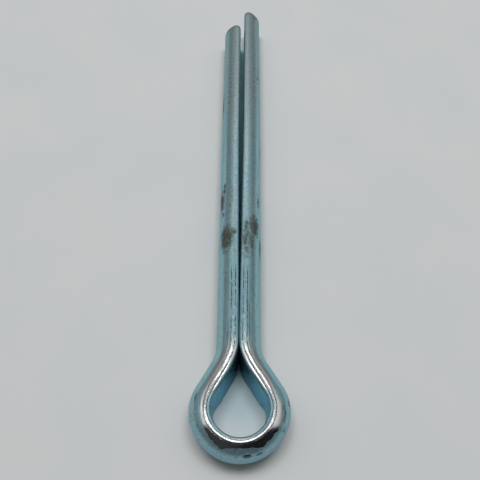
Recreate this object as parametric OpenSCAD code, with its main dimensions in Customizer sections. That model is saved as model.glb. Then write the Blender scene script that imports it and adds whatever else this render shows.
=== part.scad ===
// Split cotter pin: one length of half-round wire, folded on its flat face into a teardrop
// eye and two legs that close into a round shank. The legs run along +Y, the eye points
// towards -Y, and the pin lies flat with the rounded corners of its wire on Z = 0.

/* [Pin] */
// Diameter of the drilled hole that the pin is made for
hole_d = 6.3; // [6.2:0.1:6.5]
// Diameter across the two legs where they are closed
pin_d = 5.9; // [5.6:0.1:6.0]
// Length from the mouth of the hole to the end of the shorter leg
pin_l = 63; // [45:1:80]
// How far the longer leg reaches past the shorter one
prong_l = 3.9; // [2:0.1:4]
// Radius of the two corners beside the wire's flat face
corner_r = 0.76; // [0.4:0.02:0.9]

/* [Eye] */
// Radius of the eye's inner face round its closed end
eye_r = 3.5; // [3.3:0.1:4]
// Radius of the eye's inner face at its two sides
side_r = 2.5; // [2:0.1:3]
// Angle below the middle of the eye where each side bend begins
side_turn = 22; // [10:1:40]
// Angle of each flank of the eye to the legs
flank_turn = 32; // [28:1:38]
// Radius of the round back where the wire bends out of the legs
neck_r = 4.7; // [3.5:0.1:5.5]
// Angle that the eye leans from the line of the legs
eye_lean = 1.5; // [0:0.5:3]

/* [Legs] */
// Length over which the legs lie closed, from the mouth of the hole
closed_l = 12; // [6:1:24]
// Gap between the two flat faces where the legs lie closed
closed_gap = 0.06; // [0.04:0.02:0.1]
// Gap between the two flat faces at the end of the shorter leg
tip_gap = 0.6; // [0.3:0.05:0.6]
// Radius of the slight bend from which the legs spring apart
spring_r = 170; // [150:10:200]
// Width of the bevel round the cut end of each leg
tip_bevel = 0.3; // [0.1:0.05:0.5]

/* [Nipped end] */
// Length of the flat that the cutter left on the longer leg
nip_l = 1.8; // [1:0.1:3]
// Depth of that flat at the end of the leg
nip_depth = 0.16; // [0.1:0.02:0.3]
// Direction of that flat round the leg, from level outward to straight up
nip_turn = 50; // [30:5:70]

/* [Hidden] */
// Overshoot of a cutting tool past the face that it cuts
over = 1;
// Angle at which a rounded corner meets the wire's flat face and its round back
corner_break = 4;
// How much the wire swells in the bends at the neck, the sides and the legs
bend_swell = 0.005;
// How far the wire between two swollen bends runs into each of them
run_in = 0.05;
// Radius of the half-round wire, centre of a rounded corner, and half the wire's height
wire_r = pin_d / 2;
corner_x = corner_r * cos(corner_break);
corner_reach = pow(wire_r, 2) + pow(corner_r, 2) - 2 * wire_r * corner_r * cos(corner_break);
corner_z = sqrt(corner_reach - pow(corner_x, 2));
corner_turn = atan2(corner_z, corner_x);
half_h = corner_z + corner_r + bend_swell;
// Neck bend measured on the wire's flat face
neck_face_r = neck_r + wire_r;
// Half width of the eye's inner face, and the length of a flank that closes the eye
side_x = (eye_r - side_r) * cos(side_turn) + side_r * cos(flank_turn);
flank_l = (side_x - neck_face_r * (1 - cos(flank_turn))) / sin(flank_turn);
// Distance from the throat of the eye to the centre of its closed end
eye_drop = (neck_face_r + side_r) * sin(flank_turn) + flank_l * cos(flank_turn)
    + (side_r - eye_r) * sin(side_turn);
// Where the shank fills the mouth of the hole, below the throat
mouth_turn = acos(1 - (hole_d - pin_d) / 2 / neck_r);
mouth_y = -neck_r * sin(mouth_turn);
// Ends of the closed length, the shorter leg and the longer leg
closed_y = mouth_y + closed_l;
short_y = mouth_y + pin_l;
long_y = short_y + prong_l;
// Angle that each leg springs out by, so that its straight end touches the slight bend
spread = (tip_gap - closed_gap) / 2;
spring_y = short_y - closed_y;
splay = atan2(spring_y, spring_r - spread) - acos(spring_r / norm([spring_y, spring_r - spread]));
// Slope of the nipped flat
nip_slope = atan(nip_depth / nip_l);

// Unit vector at an angle in the plane of the pin
function toward(turn) = [cos(turn), sin(turn)];
// Turns a point about the throat by the eye's lean
function leaned(p, lean) = [
    p.x * cos(lean) - p.y * sin(lean),
    p.x * sin(lean) + p.y * cos(lean)
];

// Centre of a side bend, and the foot of the flank that leaves it
function side_centre(lean) = leaned(
    [(eye_r - side_r) * cos(side_turn), -eye_drop - (eye_r - side_r) * sin(side_turn)], lean);
function flank_foot(lean) = side_centre(lean) + side_r * toward(flank_turn + lean);

// Centre of the neck bend that touches both the leg's flat face and the flank's
function neck_x() = closed_gap / 2 + neck_face_r;
function neck_centre(lean) = let (turn = flank_turn + lean) [
    neck_x(),
    (neck_face_r + flank_foot(lean) * toward(turn) - neck_x() * cos(turn)) / sin(turn)
];

// What one rounded corner takes off the half-round section
module corner_waste(swell) {
    difference() {
        polygon([
            [corner_x, corner_z],
            [-over, corner_z],
            [-over, wire_r + over],
            (wire_r + over) / sin(corner_turn) * toward(corner_turn)
        ]);
        translate([corner_x, corner_z])
            circle(r = corner_r + swell);
    }
}

// Outline of the half-round wire: flat face on x = 0, round back towards +x
module wire_section(swell = 0) {
    size = wire_r + over;
    difference() {
        circle(r = wire_r + swell);
        translate([-size - swell, -size])
            square([size, 2 * size]);
        corner_waste(swell);
        mirror([0, 1])
            corner_waste(swell);
    }
}

// Straight wire along y between two heights, with its round back towards +x
module straight_wire(from_y, to_y) {
    translate([0, to_y, 0])
        rotate([90, 0, 0])
            linear_extrude(height = to_y - from_y)
                wire_section();
}

// Wire bent round the origin with its round back outward
module bent_out(face_r, from, to, swell) {
    rotate([0, 0, from])
        rotate_extrude(angle = to - from)
            translate([face_r, 0])
                wire_section(swell);
}

// Wire bent round the origin with its round back inward
module bent_in(face_r, from, to, swell) {
    rotate([0, 0, from])
        rotate_extrude(angle = to - from)
            translate([face_r, 0])
                mirror([1, 0])
                    wire_section(swell);
}

// Ring that bevels the end of a straight wire
module bevel_ring() {
    rotate([90, 0, 0])
        rotate_extrude()
            polygon([
                [wire_r - tip_bevel - over, -over],
                [wire_r + over, -over],
                [wire_r + over, tip_bevel + over]
            ]);
}

// Block that takes the nipped flat off the end of a straight wire
module nip_block() {
    rotate([0, -nip_turn, 0])
        translate([wire_r - nip_depth, 0, 0])
            rotate([0, 0, nip_slope])
                translate([0, -2 * nip_l, -wire_r])
                    cube([wire_r, 3 * nip_l, 2 * wire_r]);
}

// Sprung end of a leg, cut off at a length from the slight bend
module leg_end(length, nipped) {
    difference() {
        straight_wire(-run_in, length);
        translate([0, length, 0]) {
            bevel_ring();
            if (nipped)
                nip_block();
        }
    }
}

// One leg: closed length, slight bend and sprung end
module leg(lean, end_y, nipped) {
    bend_end = spring_r * [1 - cos(splay), sin(splay)];
    translate([closed_gap / 2, 0, 0]) {
        straight_wire(neck_centre(lean).y - run_in, closed_y + run_in);
        translate([spring_r, closed_y, 0])
            bent_in(spring_r, 180 - splay, 180, bend_swell);
        translate([bend_end.x, closed_y + bend_end.y, 0])
            rotate([0, 0, -splay])
                leg_end((end_y - closed_y - bend_end.y) / cos(splay), nipped);
    }
}

// Neck bend, flank and side bend of the eye on one side
module eye_side(lean) {
    turn = flank_turn + lean;
    neck = neck_centre(lean);
    flank_top = neck - neck_face_r * toward(turn);
    foot = flank_foot(lean);
    side = side_centre(lean);
    translate([neck.x, neck.y, 0])
        bent_in(neck_face_r, 180, 180 + turn, bend_swell);
    translate([flank_top.x, flank_top.y, 0])
        rotate([0, 0, turn])
            straight_wire(-norm(flank_top - foot) - run_in, run_in);
    translate([side.x, side.y, 0])
        bent_out(side_r, lean - side_turn, turn, bend_swell);
}

// Closed end of the eye, shared by both sides
module eye_end() {
    centre = leaned([0, -eye_drop], eye_lean);
    run_in_turn = run_in / eye_r * 180 / PI;
    half_turn = 90 - side_turn + run_in_turn;
    translate([centre.x, centre.y, 0])
        bent_out(eye_r, 270 + eye_lean - half_turn, 270 + eye_lean + half_turn, 0);
}

// The whole pin, moved so that the middle of its underside is the origin
module cotter_pin() {
    right_x = side_centre(eye_lean).x + side_r + wire_r;
    left_x = -side_centre(-eye_lean).x - side_r - wire_r;
    eye_y = leaned([0, -eye_drop], eye_lean).y - eye_r - wire_r;
    color([0.56, 0.66, 0.70])
        translate([-(right_x + left_x) / 2, -(long_y + eye_y) / 2, half_h])
            union() {
                leg(eye_lean, long_y, true);
                eye_side(eye_lean);
                eye_end();
                mirror([1, 0, 0]) {
                    eye_side(-eye_lean);
                    leg(-eye_lean, short_y, false);
                }
            }
}

cotter_pin();
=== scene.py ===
"""Visual model of a split cotter pin: one length of half-round, zinc-plated steel wire.

The wire is swept as one skin along its fold, from the end of the longer leg, round the
eye and back to the end of the shorter leg. All sizes are in millimetres until a mesh is
written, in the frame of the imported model.
"""

import logging
import math
from dataclasses import dataclass, field
from enum import Enum
from functools import cached_property

import bpy
from mathutils import Matrix, Vector, noise


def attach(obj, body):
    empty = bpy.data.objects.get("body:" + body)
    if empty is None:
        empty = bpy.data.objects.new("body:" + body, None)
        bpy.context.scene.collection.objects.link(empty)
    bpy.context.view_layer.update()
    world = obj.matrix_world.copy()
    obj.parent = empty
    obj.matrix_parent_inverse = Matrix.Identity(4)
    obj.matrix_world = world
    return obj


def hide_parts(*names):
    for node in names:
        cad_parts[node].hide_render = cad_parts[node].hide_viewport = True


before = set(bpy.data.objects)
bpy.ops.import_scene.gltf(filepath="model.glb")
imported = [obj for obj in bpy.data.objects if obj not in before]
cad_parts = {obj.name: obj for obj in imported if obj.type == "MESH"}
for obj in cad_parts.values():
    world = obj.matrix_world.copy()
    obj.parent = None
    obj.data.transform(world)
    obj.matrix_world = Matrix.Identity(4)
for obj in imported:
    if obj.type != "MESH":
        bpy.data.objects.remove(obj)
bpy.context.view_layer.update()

LOG = logging.getLogger("cotter_pin")
MM = 0.001
NODE = "cotter_pin"
BODY = "root"

Colour = tuple[float, float, float, float]
Point = tuple[float, float]
Spot = tuple[float, float, float]
Span = tuple[Point, Point]
Socket = bpy.types.NodeSocket

# Colours that the zinc plate uses more than once
GREY_FILM: Colour = (0.42, 0.545, 0.56, 1.0)
SPECK: Colour = (0.20, 0.33, 0.37, 1.0)
RUBBED_ZINC: Colour = (0.76, 0.78, 0.78, 1.0)


class Leg(Enum):
    """The two legs, with the sign of their side along X."""

    LONG = 1
    SHORT = -1


class Zone(Enum):
    """Stretches of the wire that are shaped alike."""

    END = "end"
    LEG = "leg"
    NECK = "neck"
    FLANK = "flank"
    SIDE = "side"
    CROWN = "crown"


class Mark(Enum):
    """Maps on the skin that tell the finish how a place has fared.

    WEAR stands for patches and pits, GLOSS for the rubbed crest, DULL for the legs' ends,
    DRAWN for drawing lines, CUT for sheared metal, DEEP for the flat face, up to 2 where
    painted shade darkens it near the throat, and MATT for the eye's closed end.
    """

    WEAR = "wear"
    GLOSS = "gloss"
    DULL = "dull"
    DRAWN = "drawn"
    CUT = "cut"
    DEEP = "deep"
    MATT = "matt"


def toward(turn: float) -> Point:
    """Return the unit vector at an angle in radians."""
    return math.cos(turn), math.sin(turn)


def smooth(low: float, high: float, value: float) -> float:
    """Ease from 0 to 1 between two limits.

    Args:
        low: Value at which the result leaves 0.
        high: Value at which the result reaches 1.
        value: Value to ease.

    Returns:
        A number from 0 to 1.
    """
    part = min(max((value - low) / (high - low), 0.0), 1.0)
    return part * part * (3 - 2 * part)


def eased(knots: tuple[Point, ...], value: float) -> float:
    """Read a smooth curve through a few knots.

    Args:
        knots: Pairs of position and height, in rising order of position.
        value: Position to read.

    Returns:
        The height of the curve there.
    """
    if value <= knots[0][0]:
        return knots[0][1]
    for (x0, y0), (x1, y1) in zip(knots, knots[1:]):
        if value <= x1:
            return y0 + (y1 - y0) * smooth(x0, x1, value)
    return knots[-1][1]


@dataclass(frozen=True)
class Station:
    """One place along the wire's flat face.

    Attributes:
        at: Point on the flat face's middle line.
        out: Unit vector from the flat face towards the round back.
        zone: The stretch that the place belongs to.
        leg: The leg, or the side of the eye, that it belongs to.
        run: Distance from the throat, positive along the leg and negative round the eye.
    """

    at: Point
    out: Point
    zone: Zone
    leg: Leg
    run: float


@dataclass
class Fold:
    """The fold of the pin: where the flat face of the wire runs.

    Radii are those of the flat face, except for the neck's, which is on the round back.
    """

    # Diameters of the shank and of its hole, length of the shorter leg from the hole's
    # mouth on, and how much further the longer leg goes
    pin_d: float = 5.9
    hole_d: float = 6.3
    pin_l: float = 63.0
    prong_l: float = 3.9
    # Radii of the eye's closed end and side bends, and how far past the sides they meet
    eye_r: float = 3.5
    side_r: float = 2.5
    side_turn: float = math.radians(22)
    # How far the straight flanks turn from the legs, and the radius of the neck bends
    flank_turn: float = math.radians(32)
    neck_r: float = 4.7
    # How far the eye leans aside, and the gap between the flat faces at the neck
    lean: float = math.radians(1.5)
    closed_gap: float = 0.06
    # Steps between stations on the legs, near their ends with the length of that stretch,
    # and in the bends, which have at least a few
    leg_step: float = 0.3
    tip_step: float = 0.07
    tip_stretch: float = 3.0
    bend_step: float = 0.11
    least_steps: int = 4
    # Half of the gap between the legs, by distance from the throat
    half_gap: tuple[Point, ...] = (
        (0.0, 0.02), (5.0, 0.03), (9.0, 0.085), (16.0, 0.15), (40.0, 0.30), (66.0, 0.335),
    )

    @property
    def wire_r(self) -> float:
        """Radius of the half-round wire."""
        return self.pin_d / 2

    @property
    def neck_face_r(self) -> float:
        """Radius of the neck bend on the wire's flat face."""
        return self.neck_r + self.wire_r

    @property
    def eye_drop(self) -> float:
        """Distance from the throat to the centre of the eye's closed end.

        Returns:
            The distance at which the neck, the flank and the side bend meet.
        """
        half = (self.eye_r - self.side_r) * math.cos(self.side_turn)
        half += self.side_r * math.cos(self.flank_turn)
        rise = half - self.neck_face_r * (1 - math.cos(self.flank_turn))
        flank = rise / math.sin(self.flank_turn)
        drop = (self.neck_face_r + self.side_r) * math.sin(self.flank_turn)
        drop += flank * math.cos(self.flank_turn)
        return drop + (self.side_r - self.eye_r) * math.sin(self.side_turn)

    @property
    def mouth_y(self) -> float:
        """Height at which the shank fills the mouth of its hole."""
        play = (self.hole_d - self.pin_d) / 2
        return -self.neck_r * math.sin(math.acos(1 - play / self.neck_r))

    def leaned(self, point: Point, lean: float) -> Point:
        """Turn a point about the throat by the eye's lean."""
        c, s = toward(lean)
        return point[0] * c - point[1] * s, point[0] * s + point[1] * c

    def crown_centre(self) -> Point:
        """Find the centre of the eye's closed end."""
        return self.leaned((0.0, -self.eye_drop), self.lean)

    def side_centre(self, lean: float) -> Point:
        """Find the centre of a side bend.

        Args:
            lean: Lean of the eye, seen from that side.

        Returns:
            The centre on the side of positive X.
        """
        c, s = toward(self.side_turn)
        gap = self.eye_r - self.side_r
        return self.leaned((gap * c, -self.eye_drop - gap * s), lean)

    def leg_end(self, leg: Leg) -> float:
        """Find the height at which a leg is cut off."""
        short = self.mouth_y + self.pin_l
        return short + self.prong_l if leg is Leg.LONG else short

    def middle(self) -> Point:
        """Find the middle of the pin's outline in plan, which is the frame's origin.

        Returns:
            The middle, from the throat.
        """
        out = self.side_r + self.wire_r
        right = self.side_centre(self.lean)[0] + out
        left = -self.side_centre(-self.lean)[0] - out
        low = self.crown_centre()[1] - self.eye_r - self.wire_r
        return (right + left) / 2, (self.leg_end(Leg.LONG) + low) / 2

    def arc(
        self, centre: Point, radius: float, start: float, end: float, zone: Zone, leg: Leg
    ) -> list[Station]:
        """Lay stations along a bend.

        Args:
            centre: Centre of the bend.
            radius: Radius of the flat face, negative where the round back is inward.
            start: Angle of the first station about the centre.
            end: Angle of the last station.
            zone: Zone of the bend.
            leg: Side of the pin.

        Returns:
            The stations, with their run still at 0.
        """
        reach = abs(end - start) * (abs(radius) + self.wire_r / 2)
        count = max(self.least_steps, math.ceil(reach / self.bend_step))
        sign = 1 if radius > 0 else -1
        out = []
        for i in range(count + 1):
            c, s = toward(start + (end - start) * i / count)
            at = centre[0] + abs(radius) * c, centre[1] + abs(radius) * s
            out.append(Station(at, (sign * c, sign * s), zone, leg, 0.0))
        return out

    def leg_stations(self, leg: Leg, low: float) -> list[Station]:
        """Lay stations down a leg, from its cut end to its neck bend.

        Args:
            leg: The leg.
            low: Height of the neck bend's start.

        Returns:
            The stations on the side of positive X.
        """
        end = self.leg_end(leg)
        heights = []
        y = end
        while y > end - self.tip_stretch:
            heights.append(y)
            y -= self.tip_step
        steps = math.ceil((y - low) / self.leg_step)
        heights += [y + (low - y) * i / steps for i in range(steps)]
        out = []
        for y in heights:
            zone = Zone.END if y > end - self.tip_stretch else Zone.LEG
            out.append(Station((eased(self.half_gap, y), y), (1.0, 0.0), zone, leg, y))
        return out

    def half(self, leg: Leg) -> list[Station]:
        """Lay stations along one half of the wire, as if it were on positive X.

        Args:
            leg: The half's leg.

        Returns:
            The stations from the cut end to the middle of the eye's closed end.
        """
        lean = self.lean * leg.value
        turn = self.flank_turn + lean
        side = self.side_centre(lean)
        normal = toward(turn)
        foot = side[0] + self.side_r * normal[0], side[1] + self.side_r * normal[1]
        neck_x = self.closed_gap / 2 + self.neck_face_r
        reach = self.neck_face_r + foot[0] * normal[0] + foot[1] * normal[1]
        neck = neck_x, (reach - neck_x * normal[0]) / normal[1]
        top = tuple(n - self.neck_face_r * d for n, d in zip(neck, normal))
        crown = self.leaned((0.0, -self.eye_drop), lean)
        path = self.leg_stations(leg, neck[1])
        radius = self.neck_face_r
        path += self.arc(neck, -radius, math.pi, math.pi + turn, Zone.NECK, leg)
        count = math.ceil(math.dist(top, foot) / self.bend_step)
        for i in range(1, count):
            at = tuple(a + (b - a) * i / count for a, b in zip(top, foot))
            path.append(Station(at, normal, Zone.FLANK, leg, 0.0))
        path += self.arc(side, self.side_r, turn, lean - self.side_turn, Zone.SIDE, leg)
        # The closed end stops at the pin's own lowest point, which the lean has moved
        stop = lean - math.pi / 2
        start = lean - self.side_turn
        path += self.arc(crown, self.eye_r, start, stop, Zone.CROWN, leg)[1:]
        return self.with_runs(path)

    def with_runs(self, path: list[Station]) -> list[Station]:
        """Give each station past the leg its distance from the throat.

        Args:
            path: Stations from the cut end on.

        Returns:
            The same stations with their runs.
        """
        out: list[Station] = []
        run: float | None = None
        for i, s in enumerate(path):
            if s.zone in (Zone.END, Zone.LEG):
                out.append(s)
                continue
            run = s.at[1] if run is None else run - math.dist(s.at, path[i - 1].at)
            out.append(Station(s.at, s.out, s.zone, s.leg, run))
        return out

    def path(self) -> list[Station]:
        """Lay stations along the whole wire, from the longer leg's end to the shorter's.

        Returns:
            The stations, with the frame's origin in the middle of the pin.
        """
        long_half = self.half(Leg.LONG)
        short_half = [
            Station((-s.at[0], s.at[1]), (-s.out[0], s.out[1]), s.zone, s.leg, s.run)
            for s in reversed(self.half(Leg.SHORT))
        ]
        mid = self.middle()
        joined = long_half + short_half[1:]
        return [
            Station((s.at[0] - mid[0], s.at[1] - mid[1]), s.out, s.zone, s.leg, s.run)
            for s in joined
        ]


@dataclass
class Section:
    """The half-round section of the wire, and how its bends deform it."""

    # Radius of the wire, and half the height that all of its sections are brought to
    wire_r: float = 2.95
    half_h: float = 2.8172
    # Radius of the corners beside the flat face, and what the closed end adds to it
    leg_corner_r: float = 0.72
    eye_corner_r: float = 0.84
    crown_corner: float = -0.18
    # How much fuller the eye's shoulders are, and how square the corners are
    eye_fullness: float = 0.06
    leg_power: float = 3.3
    eye_power: float = 4.4
    # Points on the flat face, on each corner and on the round back
    flat_points: int = 9
    corner_points: int = 15
    back_points: int = 59

    @property
    def count(self) -> int:
        """Number of points round the section."""
        return self.flat_points + 2 * self.corner_points + self.back_points

    def plain(self, corner_r: float) -> list[Spot]:
        """Draw the half-round section of straight wire.

        Args:
            corner_r: Radius of the two corners beside the flat face.

        Returns:
            Points as distance from the flat face, height from the middle, and the
            direction of the outward normal, in order round the section.
        """
        reach = self.wire_r - corner_r
        centre_z = math.sqrt(reach * reach - corner_r * corner_r)
        turn = math.atan2(centre_z, corner_r)
        points = []
        for i in range(self.flat_points):
            z = centre_z * (1 - 2 * (i + 0.5) / self.flat_points)
            points.append((0.0, z, math.pi))
        for i in range(self.corner_points):
            a = -math.pi + (math.pi - turn) * i / self.corner_points
            u = corner_r + corner_r * math.cos(a)
            points.append((u, -centre_z + corner_r * math.sin(a), a))
        for i in range(self.back_points):
            a = -turn + 2 * turn * i / self.back_points
            points.append((self.wire_r * math.cos(a), self.wire_r * math.sin(a), a))
        for i in range(self.corner_points):
            a = turn + (math.pi - turn) * i / self.corner_points
            u = corner_r + corner_r * math.cos(a)
            points.append((u, centre_z + corner_r * math.sin(a), a))
        return points

    def squared(
        self, u: float, z: float, corner_r: float, flat_half: float, power: float
    ) -> Point:
        """Fill the quarter of a corner beside the flat face out towards its edge.

        Args:
            u: Distance of the point from the flat face.
            z: Its height from the middle.
            corner_r: Radius of the corner.
            flat_half: Half the height of the flat face.
            power: How square the corner is, from 2 for a round one.

        Returns:
            The point on the fuller corner.
        """
        inward, upward = (corner_r - u) / corner_r, (abs(z) - flat_half) / corner_r
        if inward <= 0 or upward <= 0:
            return u, z
        grow = (inward**2 + upward**2) ** 0.5
        grow /= (inward**power + upward**power) ** (1 / power)
        high = flat_half + corner_r * upward * grow
        return corner_r * (1 - inward * grow), math.copysign(high, z)

    def outline(self, bend: float, square: float, crown: float) -> list[Spot]:
        """Draw the section as bending has left it.

        Args:
            bend: 0 on the legs, and 1 in the eye, whose shoulders are fuller.
            square: 0 towards the legs' ends, and 1 where the corners beside the flat face
                are pressed square against each other.
            crown: 1 in the eye's closed end, whose corners are tighter, and 0 elsewhere.

        Returns:
            Points as for the plain section, at the pin's full height.
        """
        corner_r = self.leg_corner_r + (self.eye_corner_r - self.leg_corner_r) * bend
        corner_r += self.crown_corner * crown
        power = self.leg_power + (self.eye_power - self.leg_power) * square
        flat_half = math.sqrt((self.wire_r - corner_r) ** 2 - corner_r**2)
        points = []
        for u, z, a in self.plain(corner_r):
            u, z = self.squared(u, z, corner_r, flat_half, power)
            swell = 1 + self.eye_fullness * bend * math.sin(2 * math.atan2(z, u)) ** 2
            points.append((u * swell, z * swell, a))
        stretch = self.half_h / max(z for _, z, _ in points)
        return [(u, z * stretch, a) for u, z, a in points]


@dataclass(frozen=True)
class Scar:
    """A worn or soiled patch, or a pit, on the wire.

    Attributes:
        leg: Leg, or side of the eye, that it is on.
        run: Distance of its middle from the throat.
        turn: Its direction round the wire in degrees, from level outward to straight up.
        half_run: Half its length.
        half_turn: Half its width in degrees.
        wear: How strong it is in its middle. 1 is solid there, more is solid nearly to
            its edge, and about 2 is the dark of a pit.
        depth: How deep the patch is pressed in, if it is a pit.
    """

    leg: Leg
    run: float
    turn: float
    half_run: float
    half_turn: float
    wear: float = 1.0
    depth: float = 0.0

    def weight(self, station: Station, turn: float) -> float:
        """Say how much of the scar a place on the wire has.

        Args:
            station: Station of the place.
            turn: Direction of the place round the wire, in degrees.

        Returns:
            1 in the middle, 0 on the edge, and less than 0 outside.
        """
        if station.leg is not self.leg:
            return -1.0
        along = (station.run - self.run) / self.half_run
        across = (turn - self.turn) / self.half_turn
        return 1.0 - math.hypot(along, across)


SCARS = (
    # Patches on both legs, with their lighter surroundings and specks
    Scar(Leg.SHORT, 22.0, 28, 2.6, 17, 1.1),
    Scar(Leg.SHORT, 22.3, 63, 4.2, 13, 0.34),
    Scar(Leg.SHORT, 23.7, 38, 0.6, 9),
    Scar(Leg.SHORT, 19.5, 35, 0.55, 8),
    Scar(Leg.SHORT, 24.6, 40, 0.6, 9),
    Scar(Leg.SHORT, 15.3, 50, 2.9, 30, 1.25),
    Scar(Leg.SHORT, 16.05, 77, 0.7, 12, 0.8),
    Scar(Leg.LONG, 17.3, 48, 2.6, 24, 1.1),
    Scar(Leg.LONG, 14.4, 57, 3.2, 13, 0.68),
    Scar(Leg.LONG, 14.9, 74, 4.0, 18, 0.60),
    Scar(Leg.LONG, 17.5, 73, 0.6, 8),
    Scar(Leg.LONG, 16.9, 77, 0.5, 7),
    Scar(Leg.LONG, 14.3, 78, 0.5, 7),
    Scar(Leg.LONG, 14.2, 19, 2.4, 10),
    Scar(Leg.LONG, 22.0, 29, 1.4, 10, 0.6),
    Scar(Leg.LONG, 32.0, 12, 2.2, 7, 0.8),
    Scar(Leg.LONG, 6.4, 90, 0.45, 6, 0.9),
    # Rubbed stretches towards the ends of the legs
    Scar(Leg.SHORT, 46.0, 55, 15.0, 13, 0.24),
    Scar(Leg.LONG, 46.0, 50, 15.0, 13, 0.22),
    Scar(Leg.SHORT, 42.5, 17, 4.0, 8, 0.8),
    Scar(Leg.LONG, 49.0, 30, 2.5, 7, 0.5),
    # The pit at the closed end of the eye, and the specks round it
    Scar(Leg.LONG, -13.87, 39.5, 0.38, 4.2, 2.2, 0.18),
    Scar(Leg.LONG, -8.9, 28, 0.6, 7, 0.6),
    Scar(Leg.LONG, -9.5, 48, 0.9, 9, 0.5),
    Scar(Leg.LONG, -10.6, 33, 0.5, 6, 0.6),
    Scar(Leg.LONG, -13.0, 36, 0.35, 4, 1.1),
    Scar(Leg.SHORT, -8.6, 44, 0.5, 7, 0.6),
)


@dataclass(frozen=True)
class Wave:
    """A low wave in the surface of drawn and bent wire.

    Attributes:
        height: Its height.
        length: Its length along the wire.
        around: How often it changes per radian round the wire.
        seed: Number that sets it apart from other waves.
    """

    height: float
    length: float
    around: float
    seed: float

    def at(self, along: float, turn: float) -> float:
        """Give the wave's height at a distance along the wire and a direction round it."""
        place = Vector((along / self.length, turn * self.around, self.seed))
        return self.height * noise.noise(place)


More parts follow.
